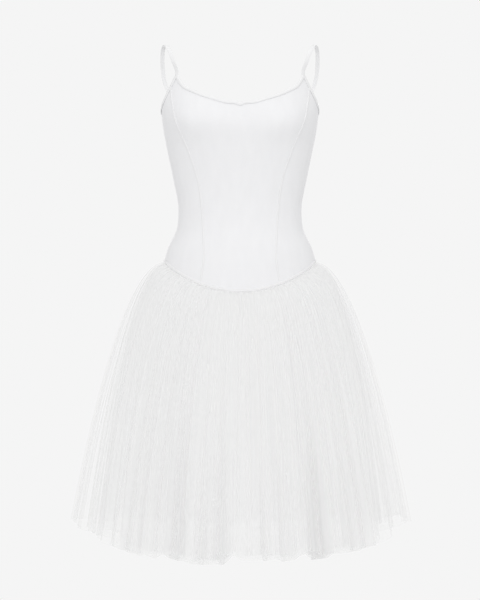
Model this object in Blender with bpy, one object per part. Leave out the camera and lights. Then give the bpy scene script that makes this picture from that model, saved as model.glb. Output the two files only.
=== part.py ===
"""A long white ballet tutu: a camisole bodice on two thin straps, a curved basque seam
and three layers of gathered net that fall from it to mid calf.

Lengths are in metres. The dress faces -Y, +Z is up, and left and right are the wearer's,
so the left side is at +X. The origin is midway between the undersides of the strap tops,
where the shoulders carry the dress. A turn is an angle round the body: 0 at centre front,
90 degrees at the left side and 180 at centre back.
"""
import bisect
import math
from collections import namedtuple

import bmesh
import bpy
import numpy as np

SEAM_GAP = 0.0003
TRIM_GAP = 0.0005
JERSEY_WALL = 0.0015
NET_WALL = 0.0012
PANEL_BANDS = 9
# Short bands along a panel's edges keep it true to its curve under the binding and piping.
TOP_STEPS = (0.0, 0.006, 0.016)
LOW_STEPS = (0.006, 0.0)

Section = namedtuple("Section", "height half_width front back")
SECTIONS = [
    Section(-0.500, 0.158, 0.108, 0.126),
    Section(-0.436, 0.152, 0.103, 0.116),
    Section(-0.408, 0.145, 0.098, 0.104),
    Section(-0.368, 0.127, 0.090, 0.088),
    Section(-0.328, 0.123, 0.086, 0.080),
    Section(-0.268, 0.133, 0.090, 0.086),
    Section(-0.210, 0.145, 0.100, 0.094),
    Section(-0.165, 0.1535, 0.107, 0.096),
    Section(-0.128, 0.157, 0.100, 0.092),
    Section(-0.080, 0.152, 0.082, 0.082),
    Section(-0.040, 0.146, 0.068, 0.072),
]

# The bust is two soft swellings of the front, the same on both sides.
BUST_SWELL = 0.012
BUST_HEIGHT = -0.158
BUST_TALL = 0.036
BUST_TURN = math.radians(37)
BUST_SPREAD = math.radians(20)

# The top edge runs through these stops, in degrees round the body. The strap stands on
# the level stretch between the last stop of the neckline and the first of the armhole.
EdgeStop = namedtuple("EdgeStop", "turn height")
NECKLINE = [
    EdgeStop(0.0, -0.1265),
    EdgeStop(2.5, -0.1235),
    EdgeStop(10.0, -0.1215),
    EdgeStop(17.0, -0.1157),
    EdgeStop(26.5, -0.1075),
    EdgeStop(37.5, -0.0960),
    EdgeStop(46.0, -0.0860),
    EdgeStop(52.0, -0.0735),
    EdgeStop(55.3, -0.0640),
]
ARMHOLE = [
    EdgeStop(58.3, -0.0640),
    EdgeStop(63.8, -0.0840),
    EdgeStop(70.0, -0.1010),
    EdgeStop(79.0, -0.1180),
    EdgeStop(90.0, -0.1300),
    EdgeStop(100.0, -0.1330),
    EdgeStop(108.0, -0.1270),
    EdgeStop(114.5, -0.1120),
]
BACK_SCOOP = [
    EdgeStop(117.5, -0.1120),
    EdgeStop(122.0, -0.1320),
    EdgeStop(130.0, -0.1620),
    EdgeStop(140.0, -0.1900),
    EdgeStop(152.0, -0.2150),
    EdgeStop(166.0, -0.2330),
    EdgeStop(180.0, -0.2400),
]

SeamStop = namedtuple("SeamStop", "height half_width")
PRINCESS_SEAM = [
    SeamStop(-0.4900, 0.0790),
    SeamStop(-0.4712, 0.0765),
    SeamStop(-0.4286, 0.0703),
    SeamStop(-0.3816, 0.0715),
    SeamStop(-0.3286, 0.0750),
    SeamStop(-0.2742, 0.0824),
    SeamStop(-0.2183, 0.1000),
    SeamStop(-0.1644, 0.1180),
    SeamStop(-0.1356, 0.1280),
    SeamStop(-0.1097, 0.1345),
    SeamStop(-0.0800, 0.1375),
]
SIDE_SEAM = math.radians(90)
SIDE_PANEL_COLUMNS = 8

# The basque seam is highest at the sides and dips to centre front and centre back.
BASQUE_SIDE = -0.432
BASQUE_FRONT_DIP = 0.0594
BASQUE_BACK_DIP = 0.035

BINDING_WIDTH = 0.005
BINDING_THICKNESS = 0.0012
PIPING_HEIGHT = 0.0045
PIPING_THICKNESS = 0.0016
PIPING_COLUMNS = 64

STRAP_WIDTH = 0.008
STRAP_THICKNESS = 0.0016
STRAP_STATIONS = 18
StrapStop = namedtuple("StrapStop", "x y height")
# Between its two feet the left strap's middle line passes these points.
STRAP_ROUTE = [
    StrapStop(0.1305, -0.0430, -0.0400),
    StrapStop(0.1385, -0.0340, -0.0170),
    StrapStop(0.1460, -0.0150, -0.0020),
    StrapStop(0.1515, 0.0060, STRAP_THICKNESS / 2),
    StrapStop(0.1555, 0.0260, -0.0070),
    StrapStop(0.1570, 0.0400, -0.0300),
    StrapStop(0.1530, 0.0470, -0.0650),
]
STRAP_FOOT = 0.008

# The net springs out of the basque seam and falls in a bell to the hem.
NET_DROP = 0.0006
FLARE_POWER = 0.52
HEM_HALF_WIDTH = 0.340
HEM_FRONT = 0.310
HEM_BACK = 0.325
HEM_SIDE = -0.944
HEM_DIP = 0.034
HEM_DIP_POWER = 1.5
HEM_WAVER = ((5, 0.004, 1.0), (11, 0.003, 0.5))
FALLS = (0.0, 0.03, 0.13, 0.35, 0.65, 1.0)
SWING_POWER = 0.6
LAYER_GAP = 0.0005
LAYER_SPREAD = 0.010

NetLayer = namedtuple("NetLayer", "name waves fold_shape swing longer seed")
KNIFE_FOLD = (1.0, 0.2, -1.0)
ROUND_FOLD = (1.0, -1.0)
NET_LAYERS = [
    NetLayer("net_outer", 64, KNIFE_FOLD, 0.010, 0.000, 3),
    NetLayer("net_middle", 56, ROUND_FOLD, 0.006, 0.005, 5),
    NetLayer("net_inner", 56, ROUND_FOLD, 0.006, -0.006, 8),
]
FOLD_WIDTH_JITTER = 0.35
FOLD_SMALLEST = 0.55

# Deep folds run through all the layers, from a start on the way down to the hem.
DeepFold = namedtuple("DeepFold", "turn depth half_width start")
DEEP_FOLDS = [
    DeepFold(-23, 0.016, 3.0, 0.25),
    DeepFold(29, 0.018, 3.0, 0.35),
    DeepFold(-58, 0.010, 4.0, 0.30),
    DeepFold(66, 0.009, 4.0, 0.25),
    DeepFold(118, 0.014, 3.5, 0.30),
    DeepFold(163, 0.015, 3.0, 0.35),
    DeepFold(-142, 0.016, 3.5, 0.30),
]


def clear_scene():
    for old in list(bpy.data.objects):
        bpy.data.objects.remove(old, do_unlink=True)


def cloth(name, colour, roughness):
    material = bpy.data.materials.new(name)
    material.use_nodes = True
    shader = material.node_tree.nodes["Principled BSDF"]
    shader.inputs["Base Color"].default_value = (*colour, 1)
    shader.inputs["Roughness"].default_value = roughness
    shader.inputs["Metallic"].default_value = 0
    return material


def smooth_curve(stops, values):
    """A function that reads the smooth curve through rising stops."""
    stops = [float(stop) for stop in stops]
    values = [float(value) for value in values]
    slopes = [float(slope) for slope in np.gradient(values, stops)]

    def read(at):
        i = min(max(bisect.bisect_right(stops, at) - 1, 0), len(stops) - 2)
        span = stops[i + 1] - stops[i]
        s = min(max((at - stops[i]) / span, 0.0), 1.0)
        rise = s * s * (3 - 2 * s)
        bend = (1 - s) * slopes[i] - s * slopes[i + 1]
        return values[i] * (1 - rise) + values[i + 1] * rise + span * s * (1 - s) * bend

    return read


def table_curve(rows, along, across):
    """A smooth curve from one named column of a table to another."""
    return smooth_curve([getattr(row, along) for row in rows], [getattr(row, across) for row in rows])


body_half_width = table_curve(SECTIONS, "height", "half_width")
body_front = table_curve(SECTIONS, "height", "front")
body_back = table_curve(SECTIONS, "height", "back")
neckline_height = table_curve(NECKLINE, "turn", "height")
armhole_height = table_curve(ARMHOLE, "turn", "height")
scoop_height = table_curve(BACK_SCOOP, "turn", "height")
princess_half_width = table_curve(PRINCESS_SEAM, "height", "half_width")


def unit(vector):
    return vector / np.linalg.norm(vector)


def bodice_point(turn, height):
    """A point of the bodice's outer face."""
    half_width = body_half_width(height)
    depth = body_front(height) if math.cos(turn) > 0 else body_back(height)
    away = (abs(turn) - BUST_TURN) / BUST_SPREAD
    above = (height - BUST_HEIGHT) / BUST_TALL
    swell = BUST_SWELL * math.exp(-away * away - above * above)
    return np.array([
        (half_width + swell) * math.sin(turn),
        -(depth + swell) * math.cos(turn),
        height,
    ])


def bodice_directions(turn, height):
    """The directions round and up the bodice's face, as long as a step of 1 in each."""
    step = 0.001
    round_body = (bodice_point(turn + step, height) - bodice_point(turn - step, height)) / (2 * step)
    up = (bodice_point(turn, height + step) - bodice_point(turn, height - step)) / (2 * step)
    return round_body, up


def bodice_offset(turn, height, distance):
    """A point at a distance outside the bodice's outer face."""
    round_body, up = bodice_directions(turn, height)
    return bodice_point(turn, height) + distance * unit(np.cross(round_body, up))


def top_edge(turn):
    """The height of the bodice's top edge at a turn."""
    away = abs((math.degrees(turn) + 180) % 360 - 180)
    if away <= ARMHOLE[0].turn:
        return neckline_height(away)
    if away <= BACK_SCOOP[0].turn:
        return armhole_height(away)
    return scoop_height(away)


def basque(turn):
    """The height of the basque seam at a turn."""
    dip = BASQUE_FRONT_DIP if math.cos(turn) > 0 else BASQUE_BACK_DIP
    return BASQUE_SIDE - dip * math.cos(turn) ** 2


def princess_turn(height):
    """The turn of the left princess seam at a height."""
    return math.asin(princess_half_width(height) / body_half_width(height))


def beside(turn, height, distance):
    """The turn that lies a distance further round the body."""
    round_body, _ = bodice_directions(turn, height)
    return turn + distance / np.linalg.norm(round_body)


def twisted_halves(points, corners):
    """The two triangles of a twisted square, cut on its shorter diagonal."""
    first, second, third, fourth = (np.array(points[row][column]) for row, column in corners)
    a, b, c, d = corners
    if np.linalg.norm(first - third) <= np.linalg.norm(second - fourth):
        return (a, b, c), (a, c, d)
    return (a, b, d), (b, c, d)


def closed_wall(name, outer, inner, ring, material):
    """A wall between two grids of points, with rows from the top down and columns by turn."""
    mesh = bmesh.new()
    rows, columns = len(outer), len(outer[0])
    out = [[mesh.verts.new(point) for point in row] for row in outer]
    back = [[mesh.verts.new(point) for point in row] for row in inner]
    steps = range(columns if ring else columns - 1)
    for i in range(rows - 1):
        for j in steps:
            k = (j + 1) % columns
            corners = [(i, j), (i + 1, j), (i + 1, k), (i, k)]
            for a, b, c in twisted_halves(outer, corners):
                mesh.faces.new((out[a[0]][a[1]], out[b[0]][b[1]], out[c[0]][c[1]]))
                mesh.faces.new((back[c[0]][c[1]], back[b[0]][b[1]], back[a[0]][a[1]]))
    for j in steps:
        k = (j + 1) % columns
        mesh.faces.new((out[0][j], out[0][k], back[0][k], back[0][j]))
        mesh.faces.new((out[-1][k], out[-1][j], back[-1][j], back[-1][k]))
    if not ring:
        for i in range(rows - 1):
            mesh.faces.new((out[i][0], back[i][0], back[i + 1][0], out[i + 1][0]))
            mesh.faces.new((back[i][-1], out[i][-1], out[i + 1][-1], back[i + 1][-1]))
    data = bpy.data.meshes.new(name)
    mesh.to_mesh(data)
    mesh.free()
    data.materials.append(material)
    data.shade_smooth()
    data.set_sharp_from_angle(angle=math.radians(40))
    piece = bpy.data.objects.new(name, data)
    bpy.context.scene.collection.objects.link(piece)
    return piece


def panel_levels(top, low):
    """The heights of a panel's rows between its top and low edges."""
    middle = np.linspace(top - TOP_STEPS[-1], low + LOW_STEPS[0], PANEL_BANDS + 1)[1:-1]
    return [top - step for step in TOP_STEPS] + list(middle) + [low + step for step in LOW_STEPS]


def panel(name, left_seam, right_seam, stops, material):
    """A bodice panel between two seams, each a function from height to turn."""
    outer, inner = [], []
    places = []
    for stop in stops:
        height = top_edge(stop)
        start, end = left_seam(height), right_seam(height)
        share = min(max((stop - start) / (end - start), 0.0), 1.0)
        places.append((share, height))
    for row in range(len(panel_levels(0, -1))):
        outer_row, inner_row = [], []
        for share, height in places:
            for _ in range(20):
                turn = left_seam(height) + share * (right_seam(height) - left_seam(height))
                height = panel_levels(top_edge(turn), basque(turn))[row]
            outer_row.append(bodice_offset(turn, height, 0))
            inner_row.append(bodice_offset(turn, height, -JERSEY_WALL))
        outer.append(outer_row)
        inner.append(inner_row)
    return closed_wall(name, outer, inner, False, material)


def between(stops):
    return [math.radians(stop.turn) for stop in stops]


def side_stops():
    """The turns of a side panel's columns at the armhole, from princess seam to side seam."""
    return list(np.linspace(math.radians(ARMHOLE[1].turn), SIDE_SEAM, SIDE_PANEL_COLUMNS + 1))


def bodice(material):
    half_gap = SEAM_GAP / 2
    front_stops = between(NECKLINE) + between(ARMHOLE[:2])
    panel(
        "front_panel",
        lambda height: -beside(princess_turn(height), height, -half_gap),
        lambda height: beside(princess_turn(height), height, -half_gap),
        [-turn for turn in reversed(front_stops[1:])] + front_stops,
        material,
    )
    panel(
        "side_front_left",
        lambda height: beside(princess_turn(height), height, half_gap),
        lambda height: beside(SIDE_SEAM, height, -half_gap),
        side_stops(),
        material,
    )
    panel(
        "side_front_right",
        lambda height: beside(-SIDE_SEAM, height, half_gap),
        lambda height: beside(-princess_turn(height), height, -half_gap),
        [-turn for turn in reversed(side_stops())],
        material,
    )
    back_half = between(ARMHOLE[4:]) + between(BACK_SCOOP)
    panel(
        "back_panel",
        lambda height: beside(SIDE_SEAM, height, half_gap),
        lambda height: beside(2 * math.pi - SIDE_SEAM, height, -half_gap),
        back_half + [2 * math.pi - turn for turn in reversed(back_half[:-1])],
        material,
    )


def edge_binding(name, stops, material):
    """A narrow strip on the outside of the panels, along their top edge."""
    rows = [[], []]
    inner_rows = [[], []]
    step = 0.004
    for turn in stops:
        height = top_edge(turn)
        round_body, up = bodice_directions(turn, height)
        before = max(turn - step, stops[0])
        after = min(turn + step, stops[-1])
        slope = (top_edge(after) - top_edge(before)) / (after - before)
        along = unit(round_body + slope * up)
        down = np.cross(unit(np.cross(round_body, up)), along) * -BINDING_WIDTH
        turn_step = down @ round_body / (round_body @ round_body)
        for i, (place, level) in enumerate(((turn, height), (turn + turn_step, height + down[2]))):
            rows[i].append(bodice_offset(place, level, TRIM_GAP + BINDING_THICKNESS))
            inner_rows[i].append(bodice_offset(place, level, TRIM_GAP))
    return closed_wall(name, rows, inner_rows, False, material)


def bindings(material):
    strap_front = math.radians((NECKLINE[-1].turn + ARMHOLE[0].turn) / 2)
    strap_back = math.radians((ARMHOLE[-1].turn + BACK_SCOOP[0].turn) / 2)
    clear = math.radians(0.8)
    neck = between(NECKLINE)[:-1] + [strap_front - clear]
    edge_binding("neck_binding_front", [-turn for turn in reversed(neck[1:])] + neck, material)
    arm = [strap_front + clear] + side_stops() + between(ARMHOLE[5:-1]) + [strap_back - clear]
    edge_binding("armhole_binding_left", arm, material)
    edge_binding("armhole_binding_right", [-turn for turn in reversed(arm)], material)
    scoop = [strap_back + clear] + between(BACK_SCOOP)[1:]
    edge_binding(
        "neck_binding_back",
        scoop + [2 * math.pi - turn for turn in reversed(scoop[:-1])],
        material,
    )


def basque_piping(material):
    """A thin strip round the bodice, just above the basque seam."""
    levels = (PIPING_HEIGHT, 0.0)
    turns = np.linspace(0, 2 * math.pi, PIPING_COLUMNS, endpoint=False)
    grids = []
    for distance in (TRIM_GAP + PIPING_THICKNESS, TRIM_GAP):
        grids.append([[bodice_offset(t, basque(t) + level, distance) for t in turns] for level in levels])
    return closed_wall("basque_piping", grids[0], grids[1], True, material)


def strap(name, side, material):
    """A flat strap from the front edge over the shoulder to the back edge; side is 1 or -1."""
    mirror = np.array([side, 1, 1])
    feet, across = [], []
    for front, back in ((NECKLINE[-1], ARMHOLE[0]), (ARMHOLE[-1], BACK_SCOOP[0])):
        turn = math.radians((front.turn + back.turn) / 2)
        foot = bodice_offset(turn, front.height, -JERSEY_WALL / 2)
        foot[2] += SEAM_GAP
        round_body, _ = bodice_directions(turn, front.height)
        feet.append(foot * mirror)
        across.append(unit(round_body) * mirror)
    across[0] *= np.sign(across[0][0])
    across[1] *= np.sign(across[1][0])
    rise = np.array([0, 0, STRAP_FOOT])
    route = [feet[0], feet[0] + rise]
    route += [np.array([stop.x, stop.y, stop.height]) * mirror for stop in STRAP_ROUTE]
    route += [feet[1] + rise, feet[1]]
    route = np.array(route)
    lengths = np.concatenate([[0], np.cumsum(np.linalg.norm(np.diff(route, axis=0), axis=1))])

    curves = [smooth_curve(lengths, route[:, axis]) for axis in range(3)]

    def at(place):
        return np.array([curve(place) for curve in curves])

    corners = []
    for place in np.linspace(0, lengths[-1], STRAP_STATIONS + 1):
        share = place / lengths[-1]
        forward = unit(at(min(place + 0.001, lengths[-1])) - at(max(place - 0.001, 0)))
        hint = across[0] * max(1 - 2.5 * share, 0) + across[1] * max(2.5 * share - 1.5, 0)
        hint = hint + np.array([1, 0, 0]) * (1 - max(1 - 2.5 * share, 0) - max(2.5 * share - 1.5, 0))
        wide = unit(hint - (hint @ forward) * forward) * STRAP_WIDTH / 2
        thick = unit(np.cross(forward, wide)) * STRAP_THICKNESS / 2
        middle = at(place)
        corners.append([middle - wide - thick, middle + wide - thick, middle + wide + thick, middle - wide + thick])
    outer = [[c[3], c[2]] for c in corners]
    inner = [[c[0], c[1]] for c in corners]
    return closed_wall(name, outer, inner, False, material)


def hem_height(turn):
    waver = sum(size * math.sin(count * turn + phase) for count, size, phase in HEM_WAVER)
    return HEM_SIDE - HEM_DIP * abs(math.cos(turn)) ** HEM_DIP_POWER + waver


def bell_point(turn, fall, longer):
    """A point of the skirt's outline at a share of its fall from the seam to the hem."""
    top = bodice_offset(turn, basque(turn), -JERSEY_WALL / 2)
    top[2] -= NET_DROP
    depth = HEM_FRONT if math.cos(turn) > 0 else HEM_BACK
    low = np.array([
        HEM_HALF_WIDTH * math.sin(turn),
        -depth * math.cos(turn),
        hem_height(turn) - longer,
    ])
    flare = fall ** FLARE_POWER
    return top + (low - top) * np.array([flare, flare, fall])


def deep_fold(turn, fall):
    """How far the deep folds pull the net in at a place."""
    depth = 0
    for fold in DEEP_FOLDS:
        away = math.degrees(turn) - fold.turn
        away = (away + 180) % 360 - 180
        ramp = min(max((fall - fold.start) / (1 - fold.start), 0), 1)
        depth += fold.depth * ramp * math.exp(-((away / fold.half_width) ** 2))
    return depth


def fold_columns(layer):
    """The turn of each column of a layer, and how far it stands out, from 1 to -1."""
    chance = np.random.default_rng(layer.seed)
    widths = 1 + FOLD_WIDTH_JITTER * (2 * chance.random(layer.waves) - 1)
    starts = np.concatenate([[0], np.cumsum(widths)]) / widths.sum() * 2 * math.pi
    sizes = FOLD_SMALLEST + (1 - FOLD_SMALLEST) * chance.random(layer.waves)
    turns, heights = [], []
    for start, end, size in zip(starts[:-1], starts[1:], sizes):
        for i, shape in enumerate(layer.fold_shape):
            turns.append(start + (end - start) * i / len(layer.fold_shape))
            heights.append(size * shape)
    return turns, heights


def net_layer(layer, middles, material):
    """One gathered layer of net, whose middle lies a depth inside the bell at each fall."""
    turns, heights = fold_columns(layer)
    bell = np.array([[bell_point(turn, fall, layer.longer) for turn in turns] for fall in FALLS])
    round_skirt = np.roll(bell, -1, axis=1) - np.roll(bell, 1, axis=1)
    down = np.gradient(bell, axis=0)
    out = np.cross(down, round_skirt)
    out /= np.linalg.norm(out, axis=2)[:, :, None]
    offset = np.array([
        [
            layer.swing * fall ** SWING_POWER * height - middle - deep_fold(turn, fall)
            for turn, height in zip(turns, heights)
        ]
        for fall, middle in zip(FALLS, middles)
    ])
    outer = bell + out * offset[:, :, None]
    inner = bell + out * (offset - NET_WALL)[:, :, None]
    return closed_wall(layer.name, outer, inner, True, material)


def skirt(material):
    falls = np.array(FALLS)
    middles = NET_LAYERS[0].swing * falls ** SWING_POWER
    for i, layer in enumerate(NET_LAYERS):
        if i:
            swings = (NET_LAYERS[i - 1].swing + layer.swing) * falls ** SWING_POWER
            middles = middles + swings + NET_WALL + LAYER_GAP + LAYER_SPREAD * falls
        net_layer(layer, middles, material)


def main():
    clear_scene()
    jersey = cloth("white_jersey", (0.86, 0.86, 0.89), 0.7)
    trim = cloth("white_binding", (0.92, 0.92, 0.94), 0.6)
    net = cloth("white_net", (0.85, 0.85, 0.85), 0.9)
    bodice(jersey)
    bindings(trim)
    basque_piping(trim)
    strap("strap_left", 1, trim)
    strap("strap_right", -1, trim)
    skirt(net)


main()
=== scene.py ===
"""A long white ballet tutu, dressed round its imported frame: jersey bodice panels with
princess seams, rolled bindings and straps, a piped basque seam and three layers of
gathered net.

The dress faces -Y and +Z is up. A turn is an angle round the body: 0 at centre front,
90 degrees at the wearer's left side and 180 at centre back. Lengths are in metres.
"""
import math
from collections import namedtuple

import bmesh
import bpy
import numpy as np
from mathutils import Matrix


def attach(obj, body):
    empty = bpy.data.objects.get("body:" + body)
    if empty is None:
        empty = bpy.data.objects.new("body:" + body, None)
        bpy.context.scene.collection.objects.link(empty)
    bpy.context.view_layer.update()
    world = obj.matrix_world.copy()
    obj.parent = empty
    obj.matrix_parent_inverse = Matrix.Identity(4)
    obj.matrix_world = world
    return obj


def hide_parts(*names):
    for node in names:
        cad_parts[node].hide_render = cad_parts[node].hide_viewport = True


JERSEY_WALL = 0.0012

Section = namedtuple("Section", "height half_width front back")
SECTIONS = [
    Section(-0.500, 0.158, 0.108, 0.126),
    Section(-0.436, 0.152, 0.103, 0.116),
    Section(-0.408, 0.145, 0.098, 0.104),
    Section(-0.368, 0.127, 0.090, 0.088),
    Section(-0.328, 0.123, 0.086, 0.080),
    Section(-0.268, 0.133, 0.090, 0.086),
    Section(-0.210, 0.145, 0.100, 0.094),
    Section(-0.165, 0.1535, 0.107, 0.096),
    Section(-0.128, 0.157, 0.100, 0.092),
    Section(-0.080, 0.152, 0.082, 0.082),
    Section(-0.040, 0.146, 0.068, 0.072),
]
BUST_SWELL = 0.012
BUST_HEIGHT = -0.158
BUST_TALL = 0.036
BUST_TURN = math.radians(37)
BUST_SPREAD = math.radians(20)

EdgeStop = namedtuple("EdgeStop", "turn height")
NECKLINE = [
    EdgeStop(0.0, -0.1265),
    EdgeStop(2.5, -0.1235),
    EdgeStop(10.0, -0.1215),
    EdgeStop(17.0, -0.1157),
    EdgeStop(26.5, -0.1075),
    EdgeStop(37.5, -0.0960),
    EdgeStop(46.0, -0.0860),
    EdgeStop(52.0, -0.0735),
    EdgeStop(55.3, -0.0640),
]
ARMHOLE = [
    EdgeStop(58.3, -0.0640),
    EdgeStop(63.8, -0.0840),
    EdgeStop(70.0, -0.1010),
    EdgeStop(79.0, -0.1180),
    EdgeStop(90.0, -0.1300),
    EdgeStop(100.0, -0.1330),
    EdgeStop(108.0, -0.1270),
    EdgeStop(114.5, -0.1120),
]
BACK_SCOOP = [
    EdgeStop(117.5, -0.1120),
    EdgeStop(122.0, -0.1320),
    EdgeStop(130.0, -0.1620),
    EdgeStop(140.0, -0.1900),
    EdgeStop(152.0, -0.2150),
    EdgeStop(166.0, -0.2330),
    EdgeStop(180.0, -0.2400),
]
STRAP_FRONT = math.radians(56.8)
STRAP_BACK = math.radians(116.0)

SeamStop = namedtuple("SeamStop", "height half_width")
PRINCESS_SEAM = [
    SeamStop(-0.4900, 0.0790),
    SeamStop(-0.4712, 0.0765),
    SeamStop(-0.4286, 0.0703),
    SeamStop(-0.3816, 0.0715),
    SeamStop(-0.3286, 0.0750),
    SeamStop(-0.2742, 0.0824),
    SeamStop(-0.2183, 0.1000),
    SeamStop(-0.1644, 0.1180),
    SeamStop(-0.1356, 0.1280),
    SeamStop(-0.1097, 0.1345),
    SeamStop(-0.0800, 0.1375),
]
SIDE_SEAM = math.pi / 2
BASQUE_SIDE = -0.432
BASQUE_FRONT_DIP = 0.0594
BASQUE_BACK_DIP = 0.035

HEM_HALF_WIDTH = 0.340
HEM_FRONT = 0.310
HEM_BACK = 0.325
HEM_SIDE = -0.944
HEM_DIP = 0.034
HEM_DIP_POWER = 1.5
HEM_WAVER = ((5, 0.004, 1.0), (11, 0.003, 0.5))
FLARE_POWER = 0.52
SWING_POWER = 0.6
NET_SPACE = 0.0017
LAYER_SPREAD = 0.010
FOLD_FULLNESS = 1.1
FOLD_SIZE_POWER = 2.5
DEEP_FOLD_FULLNESS = 1.7

NetLayer = namedtuple(
    "NetLayer", "name waves fold_shape swing longer seed pleats cover crest_gather"
)
ProfileStop = namedtuple("ProfileStop", "share height")
KNIFE_FOLD = [
    ProfileStop(0.00, 1.00),
    ProfileStop(0.30, 0.80),
    ProfileStop(0.56, 0.10),
    ProfileStop(0.76, -0.90),
    ProfileStop(0.86, -0.80),
]
ROUND_FOLD = [
    ProfileStop(0.00, 1.00),
    ProfileStop(0.24, 0.70),
    ProfileStop(0.40, -0.50),
    ProfileStop(0.50, -1.00),
    ProfileStop(0.60, -0.50),
    ProfileStop(0.76, 0.70),
]
NET_LAYERS = [
    NetLayer("net_outer", 64, KNIFE_FOLD, 0.010, 0.000, 3, 60, 0.22, 0.3),
    NetLayer("net_middle", 56, ROUND_FOLD, 0.006, 0.005, 5, 30, 0.35, 0.2),
    NetLayer("net_inner", 56, ROUND_FOLD, 0.006, -0.006, 8, 24, 0.55, 0.0),
]
PLEAT_WIDTH_SPREAD = 0.65
PLEAT_DEPTH_TOP = 0.0003
PLEAT_DEPTH_HEM = 0.0014
SIDE_SHEERNESS = 0.65
LIP_HEIGHT = 0.3
HemNotch = namedtuple("HemNotch", "turn rise half_width")
HEM_NOTCHES = [
    HemNotch(-2.5, 0.010, 2.0),
    HemNotch(23.5, 0.015, 2.5),
    HemNotch(-27.0, 0.007, 2.0),
    HemNotch(64.0, 0.006, 5.0),
    HemNotch(-76.0, 0.006, 6.0),
    HemNotch(150.0, 0.010, 3.0),
    HemNotch(-128.0, 0.012, 3.0),
]
FOLD_WIDTH_JITTER = 0.35
FOLD_SMALLEST = 0.55
DeepFold = namedtuple("DeepFold", "turn depth half_width start")
DEEP_FOLDS = [
    DeepFold(-23, 0.016, 1.1, 0.30),
    DeepFold(29, 0.018, 1.1, 0.40),
    DeepFold(-14, 0.006, 0.7, 0.55),
    DeepFold(-7, 0.007, 0.7, 0.45),
    DeepFold(9, 0.007, 0.7, 0.55),
    DeepFold(16, 0.008, 0.8, 0.50),
    DeepFold(-41, 0.007, 1.0, 0.40),
    DeepFold(45, 0.008, 1.0, 0.35),
    DeepFold(-58, 0.010, 4.0, 0.30),
    DeepFold(66, 0.009, 4.0, 0.25),
    DeepFold(118, 0.014, 3.5, 0.30),
    DeepFold(163, 0.015, 3.0, 0.35),
    DeepFold(-142, 0.016, 3.5, 0.30),
]
NET_COLUMNS = 2000
NET_ROWS = 40
ROW_CROWDING = 1.7
WANDER = 0.012
RAGGEDNESS = 0.0014
NET_WIDTH = 2.1
NET_LENGTH = 0.55

VIEW_DISTANCE = 3.2
VIEW_HEIGHT = -0.508
LENS = 96
SENSOR = 36
BACKGROUND = 0.913
AMBIENT = 0.72


def smooth_curve(stops, values):
    """A function that reads the smooth curve through rising stops, for arrays too."""
    stops, values = np.array(stops, float), np.array(values, float)
    slopes = np.gradient(values, stops)

    def read(at):
        at = np.asarray(at, float)
        i = np.clip(np.searchsorted(stops, at, side="right") - 1, 0, len(stops) - 2)
        span = stops[i + 1] - stops[i]
        s = np.clip((at - stops[i]) / span, 0, 1)
        rise = s * s * (3 - 2 * s)
        bend = (1 - s) * slopes[i] - s * slopes[i + 1]
        return values[i] * (1 - rise) + values[i + 1] * rise + span * s * (1 - s) * bend

    return read


def table_curve(rows, along, across):
    return smooth_curve([getattr(row, along) for row in rows], [getattr(row, across) for row in rows])


body_half_width = table_curve(SECTIONS, "height", "half_width")
body_front = table_curve(SECTIONS, "height", "front")
body_back = table_curve(SECTIONS, "height", "back")
neckline_height = table_curve(NECKLINE, "turn", "height")
armhole_height = table_curve(ARMHOLE, "turn", "height")
scoop_height = table_curve(BACK_SCOOP, "turn", "height")
princess_half_width = table_curve(PRINCESS_SEAM, "height", "half_width")


def unit(vectors):
    return vectors / np.linalg.norm(vectors, axis=-1, keepdims=True)


def bodice_point(turn, height):
    """Points of the bodice's outer face, for arrays of turns and heights."""
    turn, height = np.broadcast_arrays(np.asarray(turn, float), np.asarray(height, float))
    depth = np.where(np.cos(turn) > 0, body_front(height), body_back(height))
    away = (np.abs(turn) - BUST_TURN) / BUST_SPREAD
    above = (height - BUST_HEIGHT) / BUST_TALL
    swell = BUST_SWELL * np.exp(-away ** 2 - above ** 2)
    x = (body_half_width(height) + swell) * np.sin(turn)
    y = -(depth + swell) * np.cos(turn)
    return np.stack([x, y, height], axis=-1)


def bodice_directions(turn, height):
    step = 0.001
    round_body = (bodice_point(turn + step, height) - bodice_point(turn - step, height)) / (2 * step)
    up = (bodice_point(turn, height + step) - bodice_point(turn, height - step)) / (2 * step)
    return round_body, up


def bodice_offset(turn, height, distance):
    round_body, up = bodice_directions(turn, height)
    out = unit(np.cross(round_body, up))
    return bodice_point(turn, height) + np.asarray(distance)[..., None] * out


def top_edge(turn):
    away = np.abs((np.degrees(turn) + 180) % 360 - 180)
    return np.where(
        away <= ARMHOLE[0].turn,
        neckline_height(away),
        np.where(away <= BACK_SCOOP[0].turn, armhole_height(away), scoop_height(away)),
    )


def basque(turn):
    dip = np.where(np.cos(turn) > 0, BASQUE_FRONT_DIP, BASQUE_BACK_DIP)
    return BASQUE_SIDE - dip * np.cos(turn) ** 2


def princess_turn(height):
    return np.arcsin(princess_half_width(height) / body_half_width(height))


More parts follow.
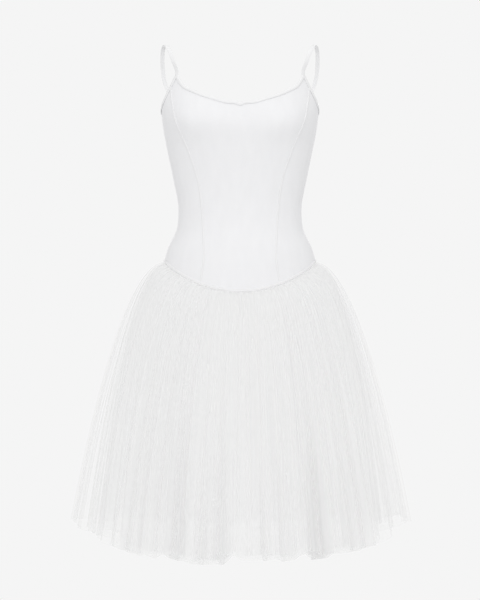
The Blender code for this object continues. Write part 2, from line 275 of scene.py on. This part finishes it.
def grid_object(name, grids, material, ring=False, closed=False, uv=None, values=None):
    """A mesh from one grid of points, or a closed wall from an outer and an inner grid."""
    rows, columns = grids[0].shape[:2]
    points = np.concatenate([grid.reshape(-1, 3) for grid in grids])
    index = np.arange(rows * columns).reshape(rows, columns)
    if ring:
        index = np.concatenate([index, index[:, :1]], axis=1)
    a, b, c, d = index[:-1, :-1], index[1:, :-1], index[1:, 1:], index[:-1, 1:]
    faces = [np.stack([a, b, c, d], axis=-1).reshape(-1, 4)]
    if closed:
        shift = rows * columns
        faces.append(np.stack([d, c, b, a], axis=-1).reshape(-1, 4) + shift)
        top, low = index[0], index[-1]
        faces.append(np.stack([top[:-1], top[1:], top[1:] + shift, top[:-1] + shift], axis=-1))
        faces.append(np.stack([low[1:], low[:-1], low[:-1] + shift, low[1:] + shift], axis=-1))
        if not ring:
            left, right = index[:, 0], index[:, -1]
            faces.append(np.stack([left[:-1], left[:-1] + shift, left[1:] + shift, left[1:]], axis=-1))
            faces.append(np.stack([right[:-1] + shift, right[:-1], right[1:], right[1:] + shift], axis=-1))
    faces = np.concatenate(faces)
    mesh = bpy.data.meshes.new(name)
    mesh.from_pydata(points, [], faces.tolist())
    mesh.materials.append(material)
    mesh.shade_smooth()
    if uv is not None:
        loops = np.empty(len(mesh.loops), np.int64)
        mesh.loops.foreach_get("vertex_index", loops)
        flat = np.concatenate([uv.reshape(-1, 2)] * len(grids))
        layer = mesh.uv_layers.new(name="cloth")
        layer.data.foreach_set("uv", flat[loops].astype(np.float32).ravel())
    for key, value in (values or {}).items():
        attribute = mesh.attributes.new(key, "FLOAT", "POINT")
        attribute.data.foreach_set("value", value.astype(np.float32).ravel())
    piece = bpy.data.objects.new(name, mesh)
    bpy.context.scene.collection.objects.link(piece)
    return piece


def dress(piece, node=None):
    """Sews a piece to the frame."""
    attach(piece, "root")
    if node:
        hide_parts(node)
    return piece


def fold_columns(layer):
    """The turn of each main fold's stops in a layer, and how far each stands out."""
    chance = np.random.default_rng(layer.seed)
    widths = 1 + FOLD_WIDTH_JITTER * (2 * chance.random(layer.waves) - 1)
    starts = np.concatenate([[0], np.cumsum(widths)]) / widths.sum() * 2 * math.pi
    sizes = FOLD_SMALLEST + (1 - FOLD_SMALLEST) * chance.random(layer.waves)
    turns, heights = [], []
    for start, end, size in zip(starts[:-1], starts[1:], sizes):
        for stop in layer.fold_shape:
            turns.append(start + (end - start) * stop.share)
            heights.append(size ** FOLD_SIZE_POWER * stop.height)
    return turns, heights


def round_curve(turns, values):
    """A smooth curve round the body that closes on itself."""
    turns, values = np.array(turns), np.array(values)
    whole = 2 * math.pi
    read = smooth_curve(
        np.concatenate([turns[-3:] - whole, turns, turns[:3] + whole]),
        np.concatenate([values[-3:], values, values[:3]]),
    )
    return lambda at: read(np.asarray(at) % whole)


def hem_height(turn):
    waver = sum(size * np.sin(count * turn + phase) for count, size, phase in HEM_WAVER)
    return HEM_SIDE - HEM_DIP * np.abs(np.cos(turn)) ** HEM_DIP_POWER + waver


def bell(turn, fall, longer):
    """The skirt's outline for arrays of turns and shares of the fall."""
    top = bodice_offset(turn, basque(turn), np.full_like(turn, -JERSEY_WALL / 2))
    depth = np.where(np.cos(turn) > 0, HEM_FRONT, HEM_BACK)
    low = np.stack([
        HEM_HALF_WIDTH * np.sin(turn),
        -depth * np.cos(turn),
        hem_height(turn) - longer,
    ], axis=-1)
    flare = fall ** FLARE_POWER
    share = np.stack([flare, flare, fall], axis=-1)
    return top + (low - top) * share


def deep_fold(turn, fall):
    depth = np.zeros_like(turn)
    for fold in DEEP_FOLDS:
        away = (np.degrees(turn) - fold.turn + 180) % 360 - 180
        ramp = np.clip((fall - fold.start) / (1 - fold.start), 0, 1)
        lip = np.exp(-(((np.abs(away) - 2 * fold.half_width) / fold.half_width) ** 2))
        depth += fold.depth * ramp * (np.exp(-((away / fold.half_width) ** 2)) - LIP_HEIGHT * lip)
    return depth


def slow_noise(chance, turn, fall, counts, tall):
    """Smooth noise that wanders round the skirt and down it, from about -1 to 1."""
    total = np.zeros_like(turn)
    for count in counts:
        phase, drift, beat = chance.uniform(0, 2 * math.pi), chance.uniform(-1, 1), chance.uniform(0, tall)
        total += np.sin(count * turn + phase + drift * beat * fall) * np.cos(beat * fall + phase * 1.7)
    return total / math.sqrt(len(counts) / 2)


def pleat_curve(chance, count):
    """Uneven narrow pleats round the skirt, standing out at a crest and in at a trough."""
    widths = np.exp(PLEAT_WIDTH_SPREAD * chance.standard_normal(count))
    widths /= widths.mean()
    widths *= 2 * math.pi / count
    starts = np.cumsum(widths) - widths
    sizes = (widths / widths.mean()) ** 0.6 * chance.uniform(0.5, 1.0, count)
    crests = starts + widths * chance.uniform(0.35, 0.65, count)
    turns = np.stack([starts, crests], axis=1).ravel()
    heights = np.stack([-sizes * chance.uniform(0.6, 1.0, count), sizes], axis=1).ravel()
    return round_curve(turns, heights)


def hem_notch(turn):
    rise = np.zeros_like(turn)
    for notch in HEM_NOTCHES:
        away = (np.degrees(turn) - notch.turn + 180) % 360 - 180
        rise += notch.rise * np.exp(-((away / notch.half_width) ** 2))
    return rise


def net_layer(layer, middle, material):
    turns = np.linspace(0, 2 * math.pi, NET_COLUMNS, endpoint=False)
    falls = np.linspace(0, 1, NET_ROWS + 1) ** ROW_CROWDING
    turn, fall = np.meshgrid(turns, falls)
    main = round_curve(*fold_columns(layer))
    chance = np.random.default_rng(layer.seed + 40)
    pleats = pleat_curve(chance, layer.pleats)
    wander = WANDER * fall * slow_noise(chance, turn, fall, (2, 5, 9, 14), 2.0).clip(-1.5, 1.5)
    place = turn + wander
    fade = 0.6 + 0.4 * slow_noise(chance, turn, fall, (4, 7, 11, 17), 3.0).clip(-1, 1)
    settle = 0.75 + 0.25 * slow_noise(chance, turn, fall, (3, 6, 10), 2.0).clip(-1, 1)
    swing = layer.swing * fall ** SWING_POWER
    pleat_depth = PLEAT_DEPTH_TOP + (PLEAT_DEPTH_HEM - PLEAT_DEPTH_TOP) * fall ** 0.7
    pleat_depth *= np.clip(fall / 0.01, 0, 1)
    folds, narrow_folds = main(turn), pleats(turn)
    offset = FOLD_FULLNESS * swing * settle * folds + pleat_depth * fade * narrow_folds
    offset -= middle(fall) + DEEP_FOLD_FULLNESS * deep_fold(turn, fall)
    base = bell(place, fall, layer.longer)
    round_skirt = np.roll(base, -1, axis=1) - np.roll(base, 1, axis=1)
    down = np.gradient(base, falls, axis=0)
    out = unit(np.cross(down, round_skirt))
    points = base + out * offset[..., None]
    ragged = RAGGEDNESS * slow_noise(chance, turn, fall * 0, (19, 31, 46, 67), 1.0)
    points[..., 2] += (ragged + hem_notch(turn)) * fall ** 3
    steps = np.linalg.norm(np.roll(points, -1, axis=1) - points, axis=-1)
    smooth_steps = np.linalg.norm(np.roll(base, -1, axis=1) - base, axis=-1)
    lean = (steps + np.roll(steps, 1, axis=1)) / (2 * smooth_steps)
    bunching = np.maximum(NET_WIDTH / steps.sum(axis=1), 1) ** 0.8
    crests = 1 + layer.crest_gather * (folds.clip(0, 1) ** 4 + 0.5 * narrow_folds.clip(0, 1) ** 4)
    thread = layer.cover * (1 - SIDE_SHEERNESS * np.sin(place) ** 4)
    cover = 1 - (1 - thread) ** (lean * crests * bunching[:, None])
    uv = np.stack([turn / (2 * math.pi) * NET_WIDTH, fall * NET_LENGTH], axis=-1)
    values = {"cover": cover}
    piece = grid_object(layer.name + "_layer", [points], material, ring=True, uv=uv, values=values)
    dress(piece, layer.name)
    return piece


def skirt(material):
    def depth_of(i):
        def middle(fall):
            swing = fall ** SWING_POWER
            total = NET_LAYERS[0].swing * swing
            for k in range(1, i + 1):
                swings = NET_LAYERS[k - 1].swing + NET_LAYERS[k].swing
                total = total + swings * swing + NET_SPACE + LAYER_SPREAD * fall
            return total
        return middle

    for i, layer in enumerate(NET_LAYERS):
        net_layer(layer, depth_of(i), material)


def panel_grid(left_seam, right_seam, shares, levels, distance):
    """Points of a panel for shares of its width and shares of its height."""
    share, level = np.meshgrid(shares, levels)
    height = np.full_like(share, -0.2)
    for _ in range(30):
        left, right = left_seam(height), right_seam(height)
        turn = left + share * (right - left)
        height = top_edge(turn) * (1 - level) + basque(turn) * level
    return bodice_offset(turn, height, np.full_like(height, distance)), turn, height


def bodice_panel(name, left_seam, right_seam, columns, material):
    shares = np.linspace(0, 1, columns)
    levels = np.linspace(0, 1, 110)
    outer, turn, height = panel_grid(left_seam, right_seam, shares, levels, 0)
    inner, _, _ = panel_grid(left_seam, right_seam, shares, levels, -JERSEY_WALL)
    uv = np.stack([turn * 0.14, height], axis=-1)
    piece = grid_object(name + "_jersey", [outer, inner], material, closed=True, uv=uv)
    piece.data.set_sharp_from_angle(angle=math.radians(50))
    dress(piece, name)
    return piece


def bodice(material, front_trim):
    gap = 0.0002

    def side(sign):
        return lambda height: np.full_like(height, sign * (SIDE_SEAM - gap))

    bodice_panel(
        "front_panel",
        lambda h: gap - princess_turn(h),
        lambda h: princess_turn(h) - gap,
        120,
        material,
    )
    bodice_panel("side_front_left", lambda h: princess_turn(h) + gap, side(1), 44, material)
    bodice_panel("side_front_right", side(-1), lambda h: -princess_turn(h) - gap, 44, material)
    bodice_panel(
        "back_panel",
        lambda h: np.full_like(h, SIDE_SEAM + gap),
        lambda h: np.full_like(h, 3 * SIDE_SEAM - gap),
        140,
        material,
    )


def sweep(name, centres, across, outward, section, material, ring=False):
    """A closed strip: section points (across, outward) carried along centres."""
    section = np.array(section)
    aside, lifted = section[None, :, :1], section[None, :, 1:]
    loops = centres[:, None] + across[:, None] * aside + outward[:, None] * lifted
    count, sides = loops.shape[:2]
    index = np.arange(count * sides).reshape(count, sides)
    index = np.concatenate([index, index[:, :1]], axis=1)
    if ring:
        index = np.concatenate([index, index[:1]], axis=0)
    a, b, c, d = index[:-1, :-1], index[:-1, 1:], index[1:, 1:], index[1:, :-1]
    faces = np.stack([a, b, c, d], axis=-1).reshape(-1, 4).tolist()
    if not ring:
        faces += [index[0, :-1][::-1].tolist(), index[-1, :-1].tolist()]
    mesh = bpy.data.meshes.new(name)
    mesh.from_pydata(loops.reshape(-1, 3), [], faces)
    lengths = np.concatenate([[0], np.cumsum(np.linalg.norm(np.diff(centres, axis=0), axis=1))])
    edge = np.concatenate([[0], np.cumsum(np.linalg.norm(np.diff(section, axis=0), axis=1))])
    flat = np.stack(np.meshgrid(edge, lengths), axis=-1).reshape(-1, 2)
    layer = mesh.uv_layers.new(name="cloth")
    corners = np.empty(len(mesh.loops), np.int64)
    mesh.loops.foreach_get("vertex_index", corners)
    layer.data.foreach_set("uv", flat[corners].astype(np.float32).ravel())
    mesh.materials.append(material)
    work = bmesh.new()
    work.from_mesh(mesh)
    bmesh.ops.recalc_face_normals(work, faces=work.faces)
    work.to_mesh(mesh)
    work.free()
    mesh.shade_smooth()
    mesh.set_sharp_from_angle(angle=math.radians(60))
    piece = bpy.data.objects.new(name, mesh)
    bpy.context.scene.collection.objects.link(piece)
    return piece


BINDING_SECTION = [
    (-0.0040, -0.0021), (-0.0044, -0.0027), (-0.0040, -0.0031), (-0.0020, -0.0031), (0.0000, -0.0029),
    (0.0010, -0.0020), (0.0014, -0.0006), (0.0010, 0.0008), (0.0000, 0.0016), (-0.0020, 0.0019),
    (-0.0042, 0.0018), (-0.0052, 0.0013), (-0.0055, 0.0006), (-0.0052, 0.0003), (-0.0020, 0.0003),
    (-0.0002, 0.0002), (-0.0002, -0.0015), (-0.0020, -0.0016),
]


def edge_frames(stops, count):
    """Places along the top edge, with the directions along its face and out of it."""
    turns = np.linspace(stops[0], stops[-1], 4000)
    height = top_edge(turns)
    points = bodice_point(turns, height)
    lengths = np.concatenate([[0], np.cumsum(np.linalg.norm(np.diff(points, axis=0), axis=1))])
    turn = np.interp(np.linspace(0, lengths[-1], count), lengths, turns)
    height = top_edge(turn)
    centres = bodice_point(turn, height)
    round_body, up = bodice_directions(turn, height)
    out = unit(np.cross(round_body, up))
    along = unit(np.gradient(centres, axis=0))
    for _ in range(3):
        along[1:-1] = unit(along[:-2] + 2 * along[1:-1] + along[2:])
    upward = unit(np.cross(out, along))
    return centres, upward, out


def edge_binding(name, stops, material):
    centres, upward, out = edge_frames(stops, 220)
    piece = sweep(name + "_roll", centres, upward, out, BINDING_SECTION, material)
    return dress(piece, name)


def bindings(material):
    clear = math.radians(0.4)
    neck = (-STRAP_FRONT + clear, STRAP_FRONT - clear)
    left = (STRAP_FRONT + clear, STRAP_BACK - clear)
    right = (-STRAP_BACK + clear, -STRAP_FRONT - clear)
    back = (STRAP_BACK + clear, 2 * math.pi - STRAP_BACK - clear)
    front_rolls = [
        edge_binding("neck_binding_front", neck, material),
        edge_binding("armhole_binding_left", left, material),
        edge_binding("armhole_binding_right", right, material),
    ]
    return front_rolls, [edge_binding("neck_binding_back", back, material)]


def round_section(width, thickness, sides=14, squareness=0.5):
    """The outline of a flat band with soft edges."""
    points = []
    for i in range(sides):
        a = 2 * math.pi * i / sides
        c, s = math.cos(a), math.sin(a)
        x = math.copysign(abs(c) ** squareness, c) * width / 2
        y = math.copysign(abs(s) ** squareness, s) * thickness / 2
        points.append((x, y))
    return points


PIPING_WIDTH = 0.0050
PIPING_THICKNESS = 0.0022


def basque_piping(material):
    turns = np.linspace(0, 2 * math.pi, 360, endpoint=False)
    height = basque(turns) + 0.0020
    centres = bodice_offset(turns, height, np.full_like(turns, 0.0012))
    round_body, up = bodice_directions(turns, height)
    out = unit(np.cross(round_body, up))
    along = unit(np.roll(centres, -1, axis=0) - np.roll(centres, 1, axis=0))
    upward = unit(np.cross(out, along))
    section = round_section(PIPING_WIDTH, PIPING_THICKNESS, 14, 0.8)
    piece = sweep("basque_piping_roll", centres, upward, out, section, material, ring=True)
    return dress(piece, "basque_piping")


STRAP_WIDTH = 0.008
STRAP_THICKNESS = 0.0016
StrapStop = namedtuple("StrapStop", "x y height")
STRAP_ROUTE = [
    StrapStop(0.1305, -0.0430, -0.0400),
    StrapStop(0.1385, -0.0340, -0.0170),
    StrapStop(0.1460, -0.0150, -0.0020),
    StrapStop(0.1515, 0.0060, STRAP_THICKNESS / 2),
    StrapStop(0.1555, 0.0260, -0.0070),
    StrapStop(0.1570, 0.0400, -0.0300),
    StrapStop(0.1530, 0.0470, -0.0650),
]
STRAP_RISE = 0.008
STRAP_TUCK = 0.004


def strap(side_name, side, material):
    mirror = np.array([side, 1, 1])
    feet, across = [], []
    for turn in (STRAP_FRONT, STRAP_BACK):
        height = float(top_edge(turn))
        foot = bodice_offset(turn, height, -JERSEY_WALL / 2)
        round_body, _ = bodice_directions(turn, height)
        direction = unit(round_body) * mirror
        feet.append(foot * mirror)
        across.append(direction * np.sign(direction[0]))
    rise = np.array([0, 0, STRAP_RISE])
    tuck = np.array([0, 0, -STRAP_TUCK])
    route = [feet[0] + tuck, feet[0] + rise]
    route += [np.array([stop.x, stop.y, stop.height]) * mirror for stop in STRAP_ROUTE]
    route += [feet[1] + rise, feet[1] + tuck]
    route = np.array(route)
    lengths = np.concatenate([[0], np.cumsum(np.linalg.norm(np.diff(route, axis=0), axis=1))])
    places = np.linspace(0, lengths[-1], 90)
    centres = np.stack([smooth_curve(lengths, route[:, axis])(places) for axis in range(3)], axis=-1)
    forward = unit(np.gradient(centres, axis=0))
    share = places / lengths[-1]
    start, end = np.maximum(1 - 2.5 * share, 0), np.maximum(2.5 * share - 1.5, 0)
    hint = across[0] * start[:, None] + across[1] * end[:, None]
    hint = hint + np.array([1.0, 0, 0]) * (1 - start - end)[:, None]
    wide = unit(hint - (hint * forward).sum(axis=1, keepdims=True) * forward)
    thick = unit(np.cross(forward, wide))
    section = round_section(STRAP_WIDTH, STRAP_THICKNESS, 14, 0.45)
    name = "strap_" + side_name
    piece = sweep(name + "_ribbon", centres, wide, thick, section, material)
    return dress(piece, name)


WELT_WIDTH = 0.0038
WELT_THICKNESS = 0.0015


def princess_welts(material):
    """A fine raised seam down each side of the front."""
    welts = []
    for name, side in (("left", 1), ("right", -1)):
        tops = np.linspace(-0.075, -0.10, 200)
        start = tops[np.argmin(np.abs(top_edge(princess_turn(tops)) - tops))]
        lows = np.linspace(-0.44, -0.495, 400)
        end = lows[np.argmin(np.abs(basque(princess_turn(lows)) - lows))] + 0.004
        height = np.linspace(start - 0.004, end, 200)
        turn = princess_turn(height) * side
        centres = bodice_offset(turn, height, np.full_like(height, 0.0004))
        round_body, up = bodice_directions(turn, height)
        out = unit(np.cross(round_body, up))
        along = unit(np.gradient(centres, axis=0))
        wide = unit(np.cross(out, along))
        section = round_section(WELT_WIDTH, WELT_THICKNESS, 12, 0.9)
        piece = sweep("princess_welt_" + name, centres, wide, out, section, material)
        welts.append(dress(piece))
    return welts


def new_material(name):
    material = bpy.data.materials.new(name)
    material.use_nodes = True
    nodes = material.node_tree.nodes
    nodes.clear()
    output = nodes.new("ShaderNodeOutputMaterial")
    return material, nodes, material.node_tree.links, output


def cloth_coordinates(nodes, links, scale):
    uv = nodes.new("ShaderNodeUVMap")
    uv.uv_map = "cloth"
    mapping = nodes.new("ShaderNodeMapping")
    mapping.inputs["Scale"].default_value = (*scale, 1)
    links.new(uv.outputs["UV"], mapping.inputs["Vector"])
    return mapping.outputs["Vector"]


def knit_material(name, dark, light, roughness, sheen, wale, bump):
    """A fine knit: columns of loops, a soft mottle and a faint sheen."""
    material, nodes, links, output = new_material(name)
    shader = nodes.new("ShaderNodeBsdfPrincipled")
    shader.inputs["Roughness"].default_value = roughness
    shader.inputs["Sheen Weight"].default_value = sheen
    shader.inputs["Sheen Roughness"].default_value = 0.4
    shader.inputs["Specular IOR Level"].default_value = 0.25
    links.new(shader.outputs["BSDF"], output.inputs["Surface"])
    mottle = nodes.new("ShaderNodeTexNoise")
    mottle.inputs["Scale"].default_value = 1
    mottle.inputs["Detail"].default_value = 4
    links.new(cloth_coordinates(nodes, links, (60, 22)), mottle.inputs["Vector"])
    ramp = nodes.new("ShaderNodeValToRGB")
    ramp.color_ramp.elements[0].position, ramp.color_ramp.elements[1].position = 0.3, 0.7
    ramp.color_ramp.elements[0].color = (*dark, 1)
    ramp.color_ramp.elements[1].color = (*light, 1)
    links.new(mottle.outputs["Fac"], ramp.inputs["Fac"])
    links.new(ramp.outputs["Color"], shader.inputs["Base Color"])
    loops = nodes.new("ShaderNodeTexVoronoi")
    loops.inputs["Scale"].default_value = 1
    links.new(cloth_coordinates(nodes, links, (1 / wale, 0.8 / wale)), loops.inputs["Vector"])
    raised = nodes.new("ShaderNodeBump")
    raised.inputs["Strength"].default_value = bump
    raised.inputs["Distance"].default_value = 0.0002
    links.new(loops.outputs["Distance"], raised.inputs["Height"])
    links.new(raised.outputs["Normal"], shader.inputs["Normal"])
    return material


def net_material():
    """Sheer net: its threads cover more where the folds bunch it."""
    material, nodes, links, output = new_material("sheer_white_net")
    cover = nodes.new("ShaderNodeAttribute")
    cover.attribute_name = "cover"
    streaks = nodes.new("ShaderNodeTexNoise")
    streaks.inputs["Scale"].default_value = 1
    streaks.inputs["Detail"].default_value = 1
    streaks.inputs["Roughness"].default_value = 0.6
    links.new(cloth_coordinates(nodes, links, (30, 0.9)), streaks.inputs["Vector"])
    uneven = nodes.new("ShaderNodeMapRange")
    uneven.inputs["From Min"].default_value = 0.3
    uneven.inputs["From Max"].default_value = 0.7
    uneven.inputs["To Min"].default_value = 0.72
    uneven.inputs["To Max"].default_value = 1.25
    links.new(streaks.outputs["Fac"], uneven.inputs["Value"])
    alpha = nodes.new("ShaderNodeMath")
    alpha.operation = "MULTIPLY"
    alpha.use_clamp = True
    links.new(cover.outputs["Fac"], alpha.inputs[0])
    links.new(uneven.outputs["Result"], alpha.inputs[1])
    diffuse = nodes.new("ShaderNodeBsdfDiffuse")
    diffuse.inputs["Color"].default_value = (0.95, 0.95, 0.95, 1)
    through = nodes.new("ShaderNodeBsdfTranslucent")
    through.inputs["Color"].default_value = (0.95, 0.95, 0.95, 1)
    thread = nodes.new("ShaderNodeMixShader")
    thread.inputs["Fac"].default_value = 0.45
    links.new(diffuse.outputs["BSDF"], thread.inputs[1])
    links.new(through.outputs["BSDF"], thread.inputs[2])
    hole = nodes.new("ShaderNodeBsdfTransparent")
    mix = nodes.new("ShaderNodeMixShader")
    links.new(alpha.outputs["Value"], mix.inputs["Fac"])
    links.new(hole.outputs["BSDF"], mix.inputs[1])
    links.new(thread.outputs["Shader"], mix.inputs[2])
    links.new(mix.outputs["Shader"], output.inputs["Surface"])
    return material


def area_light(name, place, aim, size, power):
    data = bpy.data.lights.new(name, "AREA")
    data.shape = "DISK"
    data.size = size
    data.energy = power
    light = bpy.data.objects.new(name, data)
    bpy.context.scene.collection.objects.link(light)
    light.location = place
    light.visible_camera = False
    direction = np.array(aim) - np.array(place)
    light.rotation_euler = (
        math.atan2(math.hypot(direction[0], direction[1]), -direction[2]),
        0,
        math.atan2(direction[0], -direction[1]) + math.pi,
    )
    return light


def studio():
    scene = bpy.context.scene
    scene.view_settings.view_transform = "Standard"
    scene.cycles.transparent_max_bounces = 32
    scene.cycles.diffuse_bounces = 8
    scene.cycles.transmission_bounces = 12
    scene.cycles.max_bounces = 16
    camera_data = bpy.data.cameras.new("camera")
    camera_data.lens = LENS
    camera_data.sensor_width = SENSOR
    camera = bpy.data.objects.new("camera", camera_data)
    scene.collection.objects.link(camera)
    camera.location = (0, -VIEW_DISTANCE, VIEW_HEIGHT)
    camera.rotation_euler = (math.pi / 2, 0, 0)
    scene.camera = camera

    world = bpy.data.worlds.new("pale_studio")
    scene.world = world
    world.use_nodes = True
    nodes, links = world.node_tree.nodes, world.node_tree.links
    nodes.clear()
    output = nodes.new("ShaderNodeOutputWorld")
    seen = nodes.new("ShaderNodeBackground")
    seen.inputs["Color"].default_value = (BACKGROUND, BACKGROUND, BACKGROUND, 1)
    lit = nodes.new("ShaderNodeBackground")
    lit.inputs["Color"].default_value = (AMBIENT, AMBIENT, AMBIENT, 1)
    path = nodes.new("ShaderNodeLightPath")
    mix = nodes.new("ShaderNodeMixShader")
    links.new(path.outputs["Is Camera Ray"], mix.inputs["Fac"])
    links.new(lit.outputs["Background"], mix.inputs[1])
    links.new(seen.outputs["Background"], mix.inputs[2])
    links.new(mix.outputs["Shader"], output.inputs["Surface"])
    area_light("key", (-1.2, -3.4, 0.9), (0, 0, -0.4), 2.2, 20)
    area_light("fill", (1.4, -3.2, 0.4), (0, 0, -0.5), 2.2, 14)
    area_light("overhead", (0, -0.3, 2.2), (0, 0, -0.5), 3.0, 12)
    area_light("backdrop_glow", (0, 3.0, -0.4), (0, 0, -0.6), 3.5, 30)

    bpy.ops.mesh.primitive_circle_add(vertices=96, radius=1.3, fill_type="NGON", location=(0, 0, -1.37))
    floor = bpy.context.object
    floor.name = "floor"
    material, nodes, links, output = new_material("pale_floor")
    paint = nodes.new("ShaderNodeBsdfDiffuse")
    paint.inputs["Color"].default_value = (0.86, 0.86, 0.86, 1)
    links.new(paint.outputs["BSDF"], output.inputs["Surface"])
    floor.data.materials.append(material)


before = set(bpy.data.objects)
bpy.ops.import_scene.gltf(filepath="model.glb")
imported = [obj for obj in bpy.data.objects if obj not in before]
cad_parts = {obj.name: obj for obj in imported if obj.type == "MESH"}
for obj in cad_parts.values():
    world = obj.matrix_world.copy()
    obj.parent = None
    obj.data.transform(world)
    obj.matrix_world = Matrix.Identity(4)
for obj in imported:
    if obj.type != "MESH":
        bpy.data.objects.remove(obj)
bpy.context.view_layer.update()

jersey = knit_material("white_jersey", (0.885, 0.885, 0.897), (0.905, 0.905, 0.917), 0.6, 0.2, 0.0009, 0.2)
trim = knit_material("white_binding", (0.88, 0.88, 0.885), (0.90, 0.90, 0.905), 0.5, 0.2, 0.0007, 0.3)
front_rolls, back_rolls = bindings(trim)
straps = [strap("left", 1, trim), strap("right", -1, trim)]
bodice(jersey, front_rolls + straps + princess_welts(trim) + [basque_piping(trim)])
skirt(net_material())
studio()
